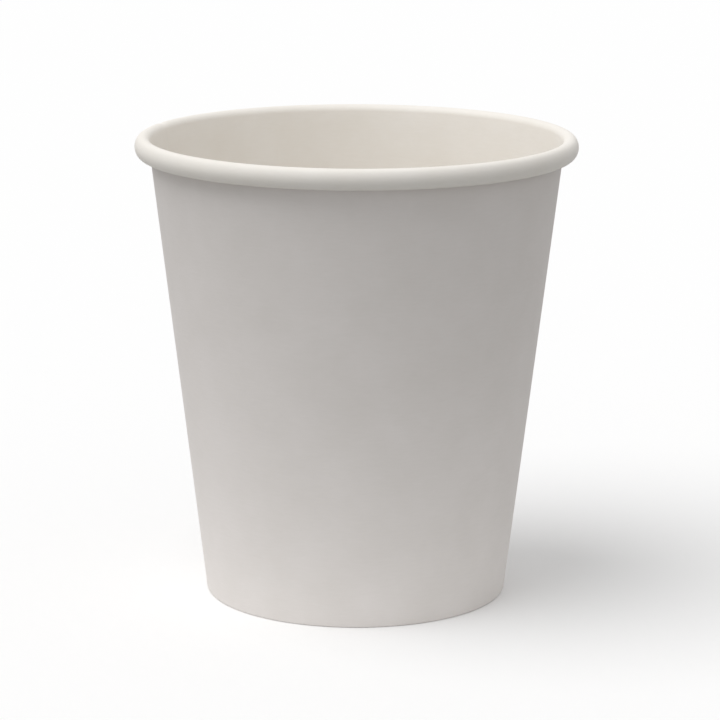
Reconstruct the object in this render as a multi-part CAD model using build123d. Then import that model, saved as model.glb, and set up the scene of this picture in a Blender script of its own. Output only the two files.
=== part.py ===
from build123d import *
from math import asin, atan2, cos, degrees, hypot, pi, radians, sin, tan
import os

# Single-wall paper cup for hot drinks, about 300 ml, in millimetres.
#
# The cup is made from two pieces of coated board:
#   side_wall  one fan-shaped blank, wrapped into a cone and lapped at the side seam. Its top edge is
#              rolled outwards into the rim, and its bottom edge is folded in and up into the hem.
#   base_disc  one round blank with its edge turned down into a skirt, which the hem holds.
#
# The cup stands on z = 0 with its axis on Z, and the side seam is centred on +X. A section is drawn
# in the half plane of +X and +Z, so its points are (radius, height).

# Overall sizes
rim_diameter = 90.0  # over the rolled rim
foot_diameter = 61.9  # outside of the wall, carried down to the table
cup_height = 94.8

# Board
wall_board = 0.35
base_board = 0.32
seal_gap = 0.02  # between two layers that lie against each other

# Rolled rim: three bends, each with the radius of its outside
lip_radius = 1.5  # over the top
flank_radius = 2.5  # down the outside
flank_half_angle = 37.0  # reach of the flank above and below its widest point, in degrees
roll_gap = 0.1  # between the wall and the edge tucked up inside the roll, closed to seal_gap at the lap

# Side seam
lap_width = 7.0  # where the two ends of the blank are glued together
ramp_width = 3.0  # over which the outer end climbs onto the inner end

# Hem and base
hem_height = 6.0  # of the leaf that is folded up inside the cup
crease_radius = 0.03  # inside radius of the hem's two folds
floor_height = 9.0  # from the table to the upper face of the base
base_bend_radius = 0.8  # outside radius where the base turns down into its skirt

# Worked out from the sizes above
rim_radius = rim_diameter / 2
foot_radius = foot_diameter / 2
lapped_board = 2 * wall_board
flank_reach = radians(flank_half_angle)

# The lip's bend is centred so that the rim has its height and, past the flank, its diameter.
lip_centre_radius = rim_radius - flank_radius + (flank_radius - lip_radius) * cos(flank_reach)
lip_centre_height = cup_height - lip_radius

# The outside of the wall runs from the foot to where it touches the inside of the lip's bend.
foot_to_lip = hypot(lip_centre_radius - foot_radius, lip_centre_height)
slope_to_lip_centre = atan2(lip_centre_radius - foot_radius, lip_centre_height)
taper = slope_to_lip_centre - asin((lip_radius - wall_board) / foot_to_lip)
taper_degrees = degrees(taper)

# The hem holds the skirt between its two leaves, and it rests on a narrow flat between its folds.
hem_flat = (base_board + 2 * seal_gap - 2 * crease_radius) / cos(taper)
skirt_bottom = lapped_board + crease_radius + seal_gap

# The seam's widths are measured halfway up the wall.
seam_radius = (rim_radius + foot_radius) / 2
lap_angle = degrees(lap_width / seam_radius)
ramp_angle = degrees(ramp_width / seam_radius)


def inner_radius(height):
    """Radius of the wall's inner face, carried along its slope to a height."""
    return foot_radius - wall_board / cos(taper) + height * tan(taper)


class SheetLine:
    """The line of one face of a sheet in section, with the sheet to the right of its direction."""

    def __init__(self, start, heading):
        """Start at a point, heading along an angle in degrees from the outward direction."""
        self.point = start
        self.heading = radians(heading)
        self.steps = []

    def run(self, length):
        """Go straight on."""
        self.steps.append((self.point, self.heading, length, 0.0, 0.0))
        x, z = self.point
        self.point = (x + length * cos(self.heading), z + length * sin(self.heading))
        return self

    def bend(self, radius, angle):
        """Turn about a radius, to the left if the angle is positive and to the right if it isn't."""
        self.steps.append((self.point, self.heading, 0.0, radius, radians(angle)))
        self.point = self._on_bend(self.point, self.heading, radius, radians(angle), 0.0, 1.0)
        self.heading += radians(angle)
        return self

    @staticmethod
    def _on_bend(start, heading, radius, turn, depth, share):
        """A point part of the way round a bend, at a depth into the sheet."""
        side = 1 if turn > 0 else -1
        centre_x = start[0] - side * radius * sin(heading)
        centre_z = start[1] + side * radius * cos(heading)
        reached = heading + turn * share
        distance = side * (radius + side * depth)
        return (centre_x + distance * sin(reached), centre_z - distance * cos(reached))

    def edges(self, depth):
        """The line's edges at a depth into the sheet."""
        result = []
        for start, heading, length, radius, turn in self.steps:
            if turn:
                points = [self._on_bend(start, heading, radius, turn, depth, s) for s in (0.0, 0.5, 1.0)]
                result.append(ThreePointArc(*[(x, 0, z) for x, z in points]))
            else:
                x = start[0] + depth * sin(heading)
                z = start[1] - depth * cos(heading)
                far_end = (x + length * cos(heading), 0, z + length * sin(heading))
                result.append(Line((x, 0, z), far_end))
        return result

    def section(self, near, far):
        """The sheet's section between two depths, with its cut ends square."""
        near_edges, far_edges = self.edges(near), self.edges(far)
        start_cut = Line(far_edges[0] @ 0, near_edges[0] @ 0)
        end_cut = Line(near_edges[-1] @ 1, far_edges[-1] @ 1)
        return make_face([start_cut, *near_edges, end_cut, *far_edges])


def wall_line(board, tuck_gap):
    """The blank's inner face, from the hem's free edge to the edge tucked inside the rim.

    The board is as thick as given, and the gap is the one between the tucked edge and the wall.
    """
    fold_height = board + crease_radius
    outer_fold_radius = inner_radius(fold_height) - crease_radius / cos(taper)
    leaf_foot = (
        outer_fold_radius - hem_flat - crease_radius * cos(taper),
        fold_height + crease_radius * sin(taper),
    )
    leaf_top = (leaf_foot[0] + hem_height * sin(taper), leaf_foot[1] + hem_height * cos(taper))
    wall_foot_height = fold_height - crease_radius * sin(taper)
    wall_top_height = lip_centre_height + lip_radius * sin(taper)

    # Angles turned since the wall, where the lip ends and where the flank ends
    lip_turn = pi - taper - flank_reach
    flank_turn = lip_turn + 2 * flank_reach
    # The last bend's radius brings the sheet back beside the wall, at the gap.
    across_lip = lip_radius * (1 - cos(lip_turn))
    across_flank = flank_radius * (cos(lip_turn) - cos(flank_turn))
    under_radius = (across_lip + across_flank - board - tuck_gap) / (1 - cos(flank_turn))

    line = SheetLine(leaf_top, -90 - taper_degrees)
    line.run(hem_height).bend(crease_radius, 90 + taper_degrees)
    line.run(hem_flat).bend(crease_radius, 90 - taper_degrees)
    line.run((wall_top_height - wall_foot_height) / cos(taper))
    line.bend(lip_radius, -degrees(lip_turn)).bend(flank_radius, -2 * flank_half_angle)
    line.bend(under_radius, -degrees(2 * pi - flank_turn))
    # The tucked edge ends level with where the lip's bend begins.
    end_radius, end_height = line.point
    tuck = (lip_centre_radius - end_radius) * sin(taper) + (lip_centre_height - end_height) * cos(taper)
    return line.run(tuck)


def base_line():
    """The base's upper face, from the cup's axis out to the bend and down the outside of the skirt."""
    bend_height = floor_height - base_bend_radius
    bend_centre_radius = inner_radius(bend_height) - (seal_gap + base_bend_radius) / cos(taper)
    skirt_top = bend_height - base_bend_radius * sin(taper)
    line = SheetLine((0.0, floor_height), 0)
    line.run(bend_centre_radius).bend(base_bend_radius, -90 - taper_degrees)
    return line.run((skirt_top - skirt_bottom) / cos(taper))


def turned(section, start_angle, arc):
    """A section turned about the cup's axis, from a start angle through an arc in degrees."""
    return revolve(Rot(0, 0, start_angle) * section, axis=Axis.Z, revolution_arc=arc)


def make_side_wall():
    """The wall, rim and hem, single all round and doubled where the blank's ends are lapped."""
    single = wall_line(wall_board, roll_gap).section(0, wall_board)
    lap_line = wall_line(lapped_board, seal_gap)
    doubled = lap_line.section(0, lapped_board)
    outer_end = lap_line.section(wall_board, lapped_board)

    lap_start = -lap_angle / 2
    round_wall = turned(single, -lap_start, 360 - lap_angle - ramp_angle)
    lap = turned(doubled, lap_start, lap_angle)
    ramp = loft([Rot(0, 0, lap_start - ramp_angle) * single, Rot(0, 0, lap_start) * outer_end], ruled=True)
    return round_wall + ramp + lap


def make_base_disc():
    """The base and its skirt."""
    return turned(base_line().section(0, base_board), 0, 360)


os.makedirs("parts", exist_ok=True)
for name, shape in {"side_wall": make_side_wall(), "base_disc": make_base_disc()}.items():
    export_step(shape, f"parts/{name}.step")
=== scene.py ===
"""Single-wall paper cup for hot drinks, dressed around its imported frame.

Lengths are metres. The cup stands on z = 0 with its axis on Z, and its side seam is centred on +X.
"""

import logging
import math
from dataclasses import dataclass
from enum import Enum

import bpy
import numpy as np
from mathutils import Euler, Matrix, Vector


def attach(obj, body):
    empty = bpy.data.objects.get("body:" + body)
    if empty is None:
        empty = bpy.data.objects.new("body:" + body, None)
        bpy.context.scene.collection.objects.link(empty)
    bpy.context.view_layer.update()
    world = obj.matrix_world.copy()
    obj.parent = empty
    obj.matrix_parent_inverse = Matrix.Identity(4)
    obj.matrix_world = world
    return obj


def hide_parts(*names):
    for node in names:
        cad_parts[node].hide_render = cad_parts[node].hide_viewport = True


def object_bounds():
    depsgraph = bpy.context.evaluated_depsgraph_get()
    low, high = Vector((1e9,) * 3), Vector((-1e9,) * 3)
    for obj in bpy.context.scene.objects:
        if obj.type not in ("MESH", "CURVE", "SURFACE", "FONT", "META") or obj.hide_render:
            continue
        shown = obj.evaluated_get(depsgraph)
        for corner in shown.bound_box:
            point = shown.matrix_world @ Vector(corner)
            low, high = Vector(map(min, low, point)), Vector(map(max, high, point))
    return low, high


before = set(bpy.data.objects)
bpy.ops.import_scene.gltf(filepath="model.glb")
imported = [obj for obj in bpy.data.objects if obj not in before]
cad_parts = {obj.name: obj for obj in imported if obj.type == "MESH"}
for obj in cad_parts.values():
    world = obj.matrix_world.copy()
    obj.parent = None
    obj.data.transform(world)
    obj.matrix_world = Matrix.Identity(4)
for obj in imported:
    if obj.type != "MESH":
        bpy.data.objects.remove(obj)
cad_low, cad_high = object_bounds()

MM = 0.001
# Noise seldom strays past these two values, so a pattern is spread between them.
NOISE_LOW, NOISE_HIGH = 0.3, 0.7
DIMPLE_FADE = 3 * MM  # height over which the rim's dimples come in
SHARP_ANGLE = math.radians(40)
LEAF_PIECES = 8  # steps down the hem's free leaf
log = logging.getLogger("paper_cup")


class Face(Enum):
    """The faces of a sheet of cup board, numbered as its material slots."""

    COATED = 0
    OUTER = 1
    CUT = 2


# ---------------------------------------------------------------------------------------------------
# Finishes


def linear(colour: str) -> tuple[float, float, float, float]:
    """Turn an sRGB hex colour into linear red, green, blue and alpha.

    Args:
        colour: The colour as "#rrggbb".

    Returns:
        The four linear values, with alpha 1.
    """
    values = [int(colour[i : i + 2], 16) / 255 for i in (1, 3, 5)]
    curve = [v / 12.92 if v <= 0.04045 else ((v + 0.055) / 1.055) ** 2.4 for v in values]
    return (*curve, 1.0)


def add_node(
    tree: bpy.types.NodeTree,
    kind: str,
    settings: dict[str | int, object] | None = None,
    links: dict[str | int, bpy.types.NodeSocket] | None = None,
) -> bpy.types.Node:
    """Add a node with its settings and incoming links.

    Args:
        tree: The node tree that gets the node.
        kind: The node's type name.
        settings: Values by input name or number, or by the node's own property name.
        links: Output sockets of other nodes, by this node's input name or number.

    Returns:
        The new node.
    """
    node = tree.nodes.new(kind)
    for name, value in (settings or {}).items():
        if isinstance(name, int) or name in node.inputs:
            node.inputs[name].default_value = value
        else:
            setattr(node, name, value)
    for name, socket in (links or {}).items():
        tree.links.new(socket, node.inputs[name])
    return node


def seen_plainly(tree: bpy.types.NodeTree) -> bpy.types.NodeSocket:
    """Tell what is seen, directly or in a gloss or a glass, from what only lights other things.

    Args:
        tree: The node tree that gets the nodes.

    Returns:
        A value that is 1 where the surface is seen and 0 where it is not.
    """
    path = add_node(tree, "ShaderNodeLightPath")
    mirrored = add_node(
        tree,
        "ShaderNodeMath",
        {"operation": "MAXIMUM"},
        {0: path.outputs["Is Glossy Ray"], 1: path.outputs["Is Transmission Ray"]},
    )
    seen = add_node(
        tree,
        "ShaderNodeMath",
        {"operation": "MAXIMUM"},
        {0: path.outputs["Is Camera Ray"], 1: mirrored.outputs["Value"]},
    )
    return seen.outputs["Value"]


@dataclass(frozen=True)
class BoardFinish:
    """A face of bleached paperboard: pressed fibres with soft clouds, fine streaks and a faint tooth.

    Every scale is a real size on the board. The fibres lie mostly around the cup, so streaks are longer
    than they are tall.
    """

    name: str
    light: str
    dark: str
    roughness: float
    roughness_spread: float
    ior: float = 1.5
    cloud_size: float = 11 * MM
    streak_length: float = 2.6 * MM
    streak_height: float = 0.45 * MM
    streak_share: float = 0.35
    tooth_size: float = 0.5 * MM
    tooth_depth: float = 0.012 * MM
    dimple_size: float = 1.7 * MM
    dimple_depth: float = 0.03 * MM
    dimples_above: float | None = None

    def make(self) -> bpy.types.Material:
        """Build the material.

        Returns:
            The material, ready for a slot.
        """
        material = bpy.data.materials.new(self.name)
        material.use_nodes = True
        tree = material.node_tree
        tree.nodes.clear()
        place = add_node(tree, "ShaderNodeTexCoord").outputs["Object"]

        # Clouds are how evenly the fibres settled: soft patches, a little lighter or darker.
        clouds = add_node(
            tree,
            "ShaderNodeTexNoise",
            {"Scale": 1 / self.cloud_size, "Detail": 3.0, "Roughness": 0.55},
            {"Vector": place},
        )
        # Streaks are bundles of fibres laid around the cup.
        along = 1 / self.streak_length
        stretched = add_node(
            tree, "ShaderNodeMapping", {"Scale": (along, along, 1 / self.streak_height)}, {"Vector": place}
        )
        streaks = add_node(
            tree,
            "ShaderNodeTexNoise",
            {"Scale": 1.0, "Detail": 4.0, "Roughness": 0.6},
            {"Vector": stretched.outputs["Vector"]},
        )
        blend = add_node(
            tree,
            "ShaderNodeMix",
            {"data_type": "FLOAT", 0: self.streak_share},
            {2: clouds.outputs["Fac"], 3: streaks.outputs["Fac"]},
        )
        shade = add_node(
            tree,
            "ShaderNodeMapRange",
            {"From Min": NOISE_LOW, "From Max": NOISE_HIGH},
            {"Value": blend.outputs[0]},
        )
        colour = add_node(
            tree,
            "ShaderNodeMix",
            {"data_type": "RGBA", 6: linear(self.dark), 7: linear(self.light)},
            {0: shade.outputs["Result"]},
        )
        polish = add_node(
            tree,
            "ShaderNodeMapRange",
            {
                "From Min": NOISE_LOW,
                "From Max": NOISE_HIGH,
                "To Min": self.roughness - self.roughness_spread,
                "To Max": self.roughness + self.roughness_spread,
            },
            {"Value": streaks.outputs["Fac"]},
        )
        normal = self._bumps(tree, place, streaks.outputs["Fac"])
        shader = add_node(
            tree,
            "ShaderNodeBsdfPrincipled",
            {"IOR": self.ior},
            {
                "Base Color": colour.outputs[2],
                "Roughness": polish.outputs["Result"],
                "Normal": normal,
            },
        )
        add_node(tree, "ShaderNodeOutputMaterial", {}, {"Surface": shader.outputs["BSDF"]})
        return material

    def _bumps(
        self, tree: bpy.types.NodeTree, place: bpy.types.NodeSocket, streaks: bpy.types.NodeSocket
    ) -> bpy.types.NodeSocket:
        """Add the board's tooth, its streaks and, where it is rolled, its dimples.

        Args:
            tree: The material's node tree.
            place: The coordinates on the object.
            streaks: The fibre bundles' strength.

        Returns:
            The normal that they give.
        """
        tooth = add_node(
            tree,
            "ShaderNodeTexNoise",
            {"Scale": 1 / self.tooth_size, "Detail": 3.0, "Roughness": 0.6},
            {"Vector": place},
        )
        fine = add_node(
            tree,
            "ShaderNodeBump",
            {"Strength": 1.0, "Distance": self.tooth_depth},
            {"Height": tooth.outputs["Fac"]},
        )
        coarse = add_node(
            tree,
            "ShaderNodeBump",
            {"Strength": 1.0, "Distance": self.tooth_depth * 1.5},
            {"Height": streaks, "Normal": fine.outputs["Normal"]},
        )
        if self.dimples_above is None:
            return coarse.outputs["Normal"]
        dimples = add_node(
            tree,
            "ShaderNodeTexNoise",
            {"Scale": 1 / self.dimple_size, "Detail": 2.0, "Roughness": 0.5},
            {"Vector": place},
        )
        height = add_node(tree, "ShaderNodeSeparateXYZ", {}, {"Vector": place}).outputs["Z"]
        rolled = add_node(
            tree,
            "ShaderNodeMapRange",
            {"From Min": self.dimples_above, "From Max": self.dimples_above + DIMPLE_FADE},
            {"Value": height},
        )
        depth = add_node(
            tree,
            "ShaderNodeMath",
            {"operation": "MULTIPLY"},
            {0: dimples.outputs["Fac"], 1: rolled.outputs["Result"]},
        )
        rim = add_node(
            tree,
            "ShaderNodeBump",
            {"Strength": 1.0, "Distance": self.dimple_depth},
            {"Height": depth.outputs["Value"], "Normal": coarse.outputs["Normal"]},
        )
        return rim.outputs["Normal"]


@dataclass(frozen=True)
class FloorFinish:
    """Seamless white studio card: it reads as plain white where nothing shades it, and keeps the shadow.

    The colour for the light that it throws back is a painted pool of light: lighter round the cup and darker
    further off, standing in for a lamp close by.
    """

    name: str = "studio_card"
    # Painted pool of light: the floor's colour for light that it throws back, near the cup and far from it.
    painted_pool_near: str = "#E9E9E8"
    painted_pool_far: str = "#7C7C7B"
    near_radius: float = 40 * MM
    far_radius: float = 160 * MM
    seen: str = "#FFFFFF"

    def make(self) -> bpy.types.Material:
        """Build the material.

        Returns:
            The material, ready for a slot.
        """
        material = bpy.data.materials.new(self.name)
        material.use_nodes = True
        tree = material.node_tree
        tree.nodes.clear()
        seen = seen_plainly(tree)
        place = add_node(tree, "ShaderNodeTexCoord").outputs["Object"]
        distance = add_node(tree, "ShaderNodeVectorMath", {"operation": "LENGTH"}, {0: place})
        away = add_node(
            tree,
            "ShaderNodeMapRange",
            {"interpolation_type": "SMOOTHSTEP", "From Min": self.near_radius, "From Max": self.far_radius},
            {"Value": distance.outputs["Value"]},
        )
        # Painted pool of light: the colour that lights the cup from the floor is lighter near it and darker
        # further off.
        painted_pool = add_node(
            tree,
            "ShaderNodeMix",
            {"data_type": "RGBA", 6: linear(self.painted_pool_near), 7: linear(self.painted_pool_far)},
            {0: away.outputs["Result"]},
        )
        colour = add_node(
            tree,
            "ShaderNodeMix",
            {"data_type": "RGBA", 7: linear(self.seen)},
            {0: seen, 6: painted_pool.outputs[2]},
        )
        shader = add_node(tree, "ShaderNodeBsdfDiffuse", {}, {"Color": colour.outputs[2]})
        add_node(tree, "ShaderNodeOutputMaterial", {}, {"Surface": shader.outputs["BSDF"]})
        return material


# Bleached board, left uncoated outside the cup: fully matt, warm white, with the fibres just showing.
OUTER_BOARD = BoardFinish("uncoated_bleached_board", "#F0EBE8", "#EAE5E1", 0.86, 0.05)
# The same board under its thin heat-sealing film: a little warmer and smoother, with a low satin glow on
# the roll of the rim, where rolling has puckered the film into small dimples.
COATED_BOARD = BoardFinish(
    "film_coated_board", "#F7F3ED", "#F2EDE5", 0.6, 0.05, dimples_above=89 * MM, tooth_depth=0.008 * MM
)
# Sliced through the board: open fibres, duller and a little yellower than either face.
CUT_BOARD = BoardFinish(
    "cut_board_edge", "#E8E2D6", "#DCD4C5", 0.92, 0.03, streak_share=0.7, tooth_depth=0.03 * MM
)


# ---------------------------------------------------------------------------------------------------
# Shapes


class SheetLine:
    """The coated face of a sheet in section, as points in (radius, height), with the sheet to its right."""

    def __init__(self, start: tuple[float, float], heading: float) -> None:
        """Start the line.

        Args:
            start: The first point's radius and height.
            heading: The direction as an angle in radians from the outward direction.
        """
        self.heading = heading
        self.points = [np.array(start)]
        self.headings = [heading]

    def run(self, length: float, pieces: int) -> "SheetLine":
        """Go straight on.

        Args:
            length: How far.
            pieces: How many steps it is cut into.

        Returns:
            The line itself.
        """
        start = self.points[-1]
        step = np.array([math.cos(self.heading), math.sin(self.heading)]) * length
        for i in range(1, pieces + 1):
            self.points.append(start + step * i / pieces)
            self.headings.append(self.heading)
        return self

    def bend(self, radius: float, turn: float, pieces: int) -> "SheetLine":
        """Turn about a radius.

        Args:
            radius: The radius of the coated face.
            turn: The angle in radians, to the left if it is positive.
            pieces: How many steps it is cut into.

        Returns:
            The line itself.
        """
        side = math.copysign(1, turn)
        to_centre = np.array([-math.sin(self.heading), math.cos(self.heading)]) * side * radius
        centre = self.points[-1] + to_centre
        for i in range(1, pieces + 1):
            reached = self.heading + turn * i / pieces
            self.points.append(centre + np.array([math.sin(reached), -math.cos(reached)]) * side * radius)
            self.headings.append(reached)
        self.heading += turn
        return self

    def arrays(self) -> tuple[np.ndarray, np.ndarray]:
        """The points, and at each the direction from the coated face into the sheet."""
        headings = np.array(self.headings)
        return np.array(self.points), np.stack([np.sin(headings), -np.cos(headings)], axis=1)


@dataclass(frozen=True)
class SheetMesh:
    """A sheet of board as a closed mesh: a grid on each face and a strip along each of its cut edges."""

    coated: np.ndarray
    outer: np.ndarray
    closed_round: bool = False

    def build(self, name: str) -> bpy.types.Object:
        """Make the mesh object, with each polygon's slot set to its kind of face.

        Args:
            name: The object's name.

        Returns:
            The object, linked to the scene.
        """
        rows, columns = self.coated.shape[:2]
        number = np.arange(rows * columns).reshape(rows, columns)
        if self.closed_round:
            number = np.concatenate([number, number[:, :1]], axis=1)
        far = number + rows * columns
        quads = [
            (Face.COATED, number[:-1, :-1], number[:-1, 1:], number[1:, 1:], number[1:, :-1]),
            (Face.OUTER, far[:-1, :-1], far[1:, :-1], far[1:, 1:], far[:-1, 1:]),
            (Face.CUT, number[0, :-1], far[0, :-1], far[0, 1:], number[0, 1:]),
            (Face.CUT, number[-1, :-1], number[-1, 1:], far[-1, 1:], far[-1, :-1]),
        ]
        if not self.closed_round:
            quads += [
                (Face.CUT, number[:-1, 0], number[1:, 0], far[1:, 0], far[:-1, 0]),
                (Face.CUT, number[:-1, -1], far[:-1, -1], far[1:, -1], number[1:, -1]),
            ]
        polygons = [np.stack([c.ravel() for c in corners], axis=1) for _, *corners in quads]
        slots = np.concatenate([np.full(len(p), face.value) for p, (face, *_) in zip(polygons, quads)])
        vertices = np.concatenate([self.coated.reshape(-1, 3), self.outer.reshape(-1, 3)])
        mesh = bpy.data.meshes.new(name)
        mesh.from_pydata(vertices.tolist(), [], np.concatenate(polygons).tolist())
        mesh.polygons.foreach_set("material_index", slots.astype(np.int32))
        mesh.polygons.foreach_set("use_smooth", np.ones(len(slots), dtype=bool))
        mesh.set_sharp_from_angle(angle=SHARP_ANGLE)
        mesh.update()
        piece = bpy.data.objects.new(name, mesh)
        bpy.context.scene.collection.objects.link(piece)
        return piece


def turned(section: np.ndarray, angle: np.ndarray) -> np.ndarray:
    """Turn each column of (radius, height) to its angle about the cup's axis."""
    radius, height = section[:, :, 0], section[:, :, 1]
    return np.stack([radius * np.cos(angle), radius * np.sin(angle), height], axis=2)


def add_finishes(piece: bpy.types.Object) -> None:
    """Give a sheet its three finishes, in the order of its faces.

    Args:
        piece: The sheet.
    """
    for finish in (COATED_BOARD, OUTER_BOARD, CUT_BOARD):
        piece.data.materials.append(finish.make())


def smooth_step(low: float, high: float, value: np.ndarray) -> np.ndarray:
    """Rise smoothly from 0 at low to 1 at high."""
    share = np.clip((value - low) / (high - low), 0, 1)
    return share * share * (3 - 2 * share)


@dataclass
class CupShape:
    """The sizes that the wall and the base share, as the cup's makers would set them."""

    rim_radius: float = cad_high.x
    height: float = cad_high.z
    foot_radius: float = 30.95 * MM
    board: float = 0.35 * MM
    base_board: float = 0.32 * MM
    seal_gap: float = 0.02 * MM
    roll_gap: float = 0.1 * MM
    lip_radius: float = 1.5 * MM
    flank_radius: float = 2.5 * MM
    flank_reach: float = math.radians(37)
    lap_width: float = 7 * MM
    ramp_width: float = 3 * MM
    hem_height: float = 6 * MM
    crease_radius: float = 0.03 * MM
    floor_height: float = 9 * MM
    base_bend_radius: float = 0.8 * MM

    def __post_init__(self) -> None:
        """Work out where the lip is centred, how far the wall leans and how wide the seam is."""
        reach = (self.flank_radius - self.lip_radius) * math.cos(self.flank_reach)
        self.lip_centre = np.array([self.rim_radius - self.flank_radius + reach, self.height - self.lip_radius])
        out = self.lip_centre[0] - self.foot_radius
        up = self.lip_centre[1]
        self.taper = math.atan2(out, up) - math.asin((self.lip_radius - self.board) / math.hypot(out, up))
        slack = 2 * self.seal_gap - 2 * self.crease_radius
        self.hem_flat = (self.base_board + slack) / math.cos(self.taper)
        middle_radius = (self.rim_radius + self.foot_radius) / 2
        self.lap_angle = self.lap_width / middle_radius
        self.ramp_angle = self.ramp_width / middle_radius

    def inner_radius(self, height: float) -> float:
        """Radius of the wall's coated face, carried along its slope to a height."""
        return self.foot_radius - self.board / math.cos(self.taper) + height * math.tan(self.taper)


@dataclass
class SideWall:
    """One blank wrapped into the wall, rolled out into the rim and folded in and up into the hem."""

    shape: CupShape
    columns: int = 480
    glue_line: float = 0.01 * MM
    knurls: int = 96
    knurl_depth: float = 0.05 * MM
    waver: float = 0.05 * MM
    seed: int = 11

    def line(self, board: float, tuck_gap: float) -> tuple[np.ndarray, np.ndarray]:
        """The blank's coated face from the hem's free edge to the edge tucked inside the rim.

        Args:
            board: How much board the section has to hold.
            tuck_gap: The gap between the tucked edge and the wall.

        Returns:
            The points, and at each the direction into the board.
        """
        s = self.shape
        fold_height = board + s.crease_radius
        across = s.crease_radius * math.cos(s.taper)
        up = s.crease_radius * math.sin(s.taper)
        fold_radius = s.inner_radius(fold_height) - s.crease_radius / math.cos(s.taper)
        foot = np.array([fold_radius - s.hem_flat - across, fold_height + up])
        top = foot + s.hem_height * np.array([math.sin(s.taper), math.cos(s.taper)])
        wall_rise = s.lip_centre[1] + s.lip_radius * math.sin(s.taper) - fold_height + up
        wall_length = wall_rise / math.cos(s.taper)

        lip_turn = math.pi - s.taper - s.flank_reach
        flank_turn = lip_turn + 2 * s.flank_reach
        reach = s.lip_radius * (1 - math.cos(lip_turn))
        reach += s.flank_radius * (math.cos(lip_turn) - math.cos(flank_turn))
        under_radius = (reach - board - tuck_gap) / (1 - math.cos(flank_turn))

        line = SheetLine(tuple(top), -math.pi / 2 - s.taper)
        line.run(s.hem_height, LEAF_PIECES).bend(s.crease_radius, math.pi / 2 + s.taper, 5)
        line.run(s.hem_flat, 1).bend(s.crease_radius, math.pi / 2 - s.taper, 5)
        line.run(wall_length, 24).bend(s.lip_radius, -lip_turn, 18)
        line.bend(s.flank_radius, -2 * s.flank_reach, 12)
        line.bend(under_radius, flank_turn - 2 * math.pi, 18)
        to_lip = s.lip_centre - line.points[-1]
        tuck = to_lip[0] * math.sin(s.taper) + to_lip[1] * math.cos(s.taper)
        return line.run(tuck, 2).arrays()

    def build(self) -> bpy.types.Object:
        """Wrap the blank from its inner end, once round, to the end that laps over it.

        Returns:
            The wall as an object.
        """
        s = self.shape
        single, single_in = self.line(s.board, s.roll_gap)
        lapped, lapped_in = self.line(2 * s.board + self.glue_line, s.seal_gap)

        half_lap = s.lap_angle / 2
        turn = 2 * math.pi
        round_wall = np.linspace(half_lap, turn - half_lap - s.ramp_angle, self.columns)
        ramp = np.linspace(turn - half_lap - s.ramp_angle, turn - half_lap, 14)
        lap = np.linspace(-half_lap, half_lap, 12)
        angle = np.concatenate([lap[:-1], round_wall[:-1], ramp[:-1], lap + turn])

        # The inner end sits in the lap's own section, and so does the outer end, one board further out.
        past_lap = 1 - smooth_step(half_lap, half_lap + s.ramp_angle, angle)
        climb = smooth_step(turn - half_lap - s.ramp_angle, turn - half_lap, angle)
        in_lap = np.maximum(past_lap, climb)[None, :, None]
        depth = climb[None, :, None] * (s.board + self.glue_line)

        face = single[:, None, :] * (1 - in_lap) + lapped[:, None, :] * in_lap
        inward = single_in[:, None, :] * (1 - in_lap) + lapped_in[:, None, :] * in_lap
        inward /= np.linalg.norm(inward, axis=2, keepdims=True)
        near = face + inward * (depth + self._waver(face, angle))
        far = near + inward * s.board
        far = far + inward * self._knurl(angle, lapped_in.shape[0])
        return SheetMesh(turned(near, angle), turned(far, angle)).build("wall_sheet")

    def _waver(self, face: np.ndarray, angle: np.ndarray) -> np.ndarray:
        """How far the wall strays from a true cone, as rolled board does, fading out at foot and rim.

        Args:
            face: The section's points in each column.
            angle: Each column's angle.

        Returns:
            How far each point moves into the board.
        """
        random = np.random.default_rng(self.seed)
        height = face[:, :, 1] / self.shape.height
        total = np.zeros_like(height)
        for lobes in range(2, 9):
            phase, lean = random.uniform(0, 2 * math.pi), random.uniform(-3, 3)
            total += np.cos(lobes * angle[None, :] + phase + lean * height) / lobes
        middle = np.sin(np.clip(height, 0, 1) * math.pi) ** 0.5
        return (self.waver * total * middle)[:, :, None]

    def _knurl(self, angle: np.ndarray, rows: int) -> np.ndarray:
        """The ribs that the sealing wheel presses into the hem's free leaf.

        Args:
            angle: Each column's angle.
            rows: How many points the section has.

        Returns:
            How far each point moves into the board.
        """
        row = np.arange(rows)
        down = row / LEAF_PIECES
        on_leaf = np.where(row <= LEAF_PIECES, np.sin(np.clip(down, 0, 1) * math.pi), 0)
        ribs = 0.5 + 0.5 * np.cos(self.knurls * angle)
        return -(self.knurl_depth * on_leaf[:, None] * ribs[None, :])[:, :, None]

    def dress(self, piece: bpy.types.Object) -> None:
        """Give the wall its finishes and its place in the frame.

        Args:
            piece: The wall.
        """
        add_finishes(piece)
        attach(piece, "root")
        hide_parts("side_wall")


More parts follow.
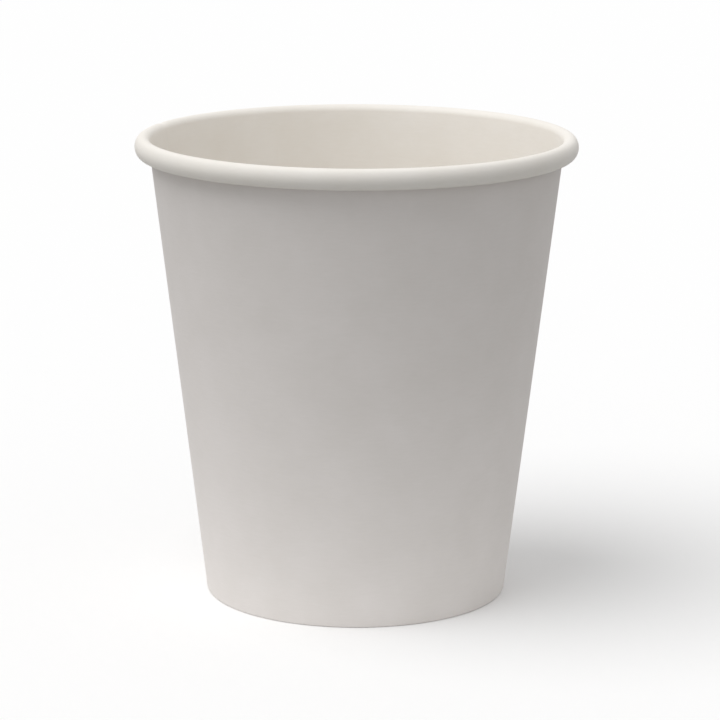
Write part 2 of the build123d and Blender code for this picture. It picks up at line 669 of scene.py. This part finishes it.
@dataclass
class BaseDisc:
    """One round blank, set up inside the foot, with its edge turned down into a skirt."""

    shape: CupShape
    columns: int = 360
    dish: float = 0.25 * MM
    pleats: int = 90
    pleat_depth: float = 0.03 * MM

    def build(self) -> bpy.types.Object:
        """Form the disc.

        Returns:
            The base as an object.
        """
        s = self.shape
        bend_height = s.floor_height - s.base_bend_radius
        bend_radius = s.inner_radius(bend_height) - (s.seal_gap + s.base_bend_radius) / math.cos(s.taper)
        skirt_top = bend_height - s.base_bend_radius * math.sin(s.taper)
        skirt_bottom = 2 * s.board + s.crease_radius + 2 * s.seal_gap
        hub = 0.5 * MM
        line = SheetLine((hub, s.floor_height), 0.0)
        line.run(bend_radius - hub, 40).bend(s.base_bend_radius, -math.pi / 2 - s.taper, 12)
        face, inward = line.run((skirt_top - skirt_bottom) / math.cos(s.taper), 10).arrays()
        angle = np.linspace(0, 2 * math.pi, self.columns, endpoint=False)
        # The disc settles a little under its own forming, and its edge gathers into small pleats.
        sag = self.dish * (1 - smooth_step(0, bend_radius, face[:, 0]))
        gather = smooth_step(bend_radius - 2 * MM, bend_radius + s.base_bend_radius * 0.7, face[:, 0])
        pleat = self.pleat_depth * gather[:, None] * (0.5 - 0.5 * np.cos(self.pleats * angle))[None, :]
        near = face[:, None, :] + inward[:, None, :] * (pleat + sag[:, None])[:, :, None]
        far = near + inward[:, None, :] * s.base_board
        sheet = SheetMesh(turned(near, angle), turned(far, angle), closed_round=True)
        return sheet.build("base_sheet")

    def dress(self, piece: bpy.types.Object) -> None:
        """Give the base its finishes and its place in the frame.

        Args:
            piece: The base.
        """
        add_finishes(piece)
        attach(piece, "root")
        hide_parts("base_disc")


# ---------------------------------------------------------------------------------------------------
# Studio


@dataclass
class Studio:
    """A white card floor, an even sky, one large soft key light from the left, and the camera."""

    # The camera stands where the side seam is just out of sight round the cup's left edge.
    azimuth: float = math.radians(-166)
    camera_distance: float = 625.1 * MM
    camera_height: float = 189.9 * MM
    camera_pitch: float = math.radians(12.8)
    camera_roll: float = math.radians(0.18)
    camera_yaw: float = 0.0013
    focal_length: float = 155.5
    sensor_width: float = 36.0
    floor_size: float = 12.0
    sky_strength: float = 0.6
    key_strength: float = 1.4
    key_elevation: float = math.radians(62)
    key_bearing: float = math.radians(-68)
    key_spread: float = math.radians(50)

    def facing(self, bearing: float, elevation: float) -> Vector:
        """Direction from the cup.

        Args:
            bearing: The angle in radians to the right of the camera's own direction.
            elevation: The angle in radians above the floor.

        Returns:
            The direction, one metre long.
        """
        turned = self.azimuth + bearing
        flat = math.cos(elevation)
        return Vector((math.sin(turned) * flat, -math.cos(turned) * flat, math.sin(elevation)))

    def floor(self) -> bpy.types.Object:
        """Lay the card that the cup stands on.

        Returns:
            The card.
        """
        half = self.floor_size / 2
        mesh = bpy.data.meshes.new("floor")
        corners = [(-half, -half, 0), (half, -half, 0), (half, half, 0), (-half, half, 0)]
        mesh.from_pydata(corners, [], [(0, 1, 2, 3)])
        floor = bpy.data.objects.new("floor", mesh)
        bpy.context.scene.collection.objects.link(floor)
        mesh.materials.append(FloorFinish().make())
        return floor

    def sky(self) -> None:
        """Light the studio evenly, and show plain white wherever the camera sees past the floor."""
        world = bpy.data.worlds.new("studio")
        world.use_nodes = True
        tree = world.node_tree
        tree.nodes.clear()
        seen = seen_plainly(tree)
        strength = add_node(
            tree,
            "ShaderNodeMapRange",
            {"To Min": self.sky_strength, "To Max": 1.0},
            {"Value": seen},
        )
        light = add_node(
            tree,
            "ShaderNodeBackground",
            {"Color": linear("#FFFFFF")},
            {"Strength": strength.outputs["Result"]},
        )
        add_node(tree, "ShaderNodeOutputWorld", {}, {"Surface": light.outputs["Background"]})
        bpy.context.scene.world = world

    def key(self) -> bpy.types.Object:
        """Hang the key light, so far off that it lights the whole card alike.

        Returns:
            The lamp.
        """
        lamp = bpy.data.lights.new("key", "SUN")
        lamp.energy = self.key_strength
        lamp.angle = self.key_spread
        key = bpy.data.objects.new("key", lamp)
        key.rotation_mode = "QUATERNION"
        towards = self.facing(self.key_bearing, self.key_elevation)
        key.rotation_quaternion = towards.to_track_quat("Z", "Y")
        bpy.context.scene.collection.objects.link(key)
        return key

    def camera(self) -> bpy.types.Object:
        """Set the camera a little above the rim, looking down on the cup.

        Returns:
            The camera.
        """
        data = bpy.data.cameras.new("camera")
        data.lens = self.focal_length
        data.sensor_width = self.sensor_width
        data.clip_start, data.clip_end = 0.01, 100.0
        camera = bpy.data.objects.new("camera", data)
        camera.location = self.facing(0.0, 0.0) * self.camera_distance + Vector((0, 0, self.camera_height))
        aim = Euler((math.pi / 2 - self.camera_pitch, 0.0, self.azimuth - self.camera_yaw), "XYZ")
        turn = aim.to_quaternion() @ Euler((0.0, 0.0, self.camera_roll), "XYZ").to_quaternion()
        camera.rotation_mode = "QUATERNION"
        camera.rotation_quaternion = turn
        bpy.context.scene.collection.objects.link(camera)
        bpy.context.scene.camera = camera
        return camera

    def build(self) -> None:
        """Set up the floor, the light and the camera, with colours shown as they are written."""
        bpy.context.scene.view_settings.view_transform = "Standard"
        self.camera()
        self.floor()
        self.sky()
        self.key()


def main() -> None:
    """Build the studio and the cup, and report each piece."""
    logging.basicConfig(level=logging.INFO, format="%(name)s: %(message)s")
    Studio().build()
    shape = CupShape()
    for part in (SideWall(shape), BaseDisc(shape)):
        piece = part.build()
        part.dress(piece)
        log.info("%s: %d polygons", piece.name, len(piece.data.polygons))


if __name__ == "__main__":
    main()
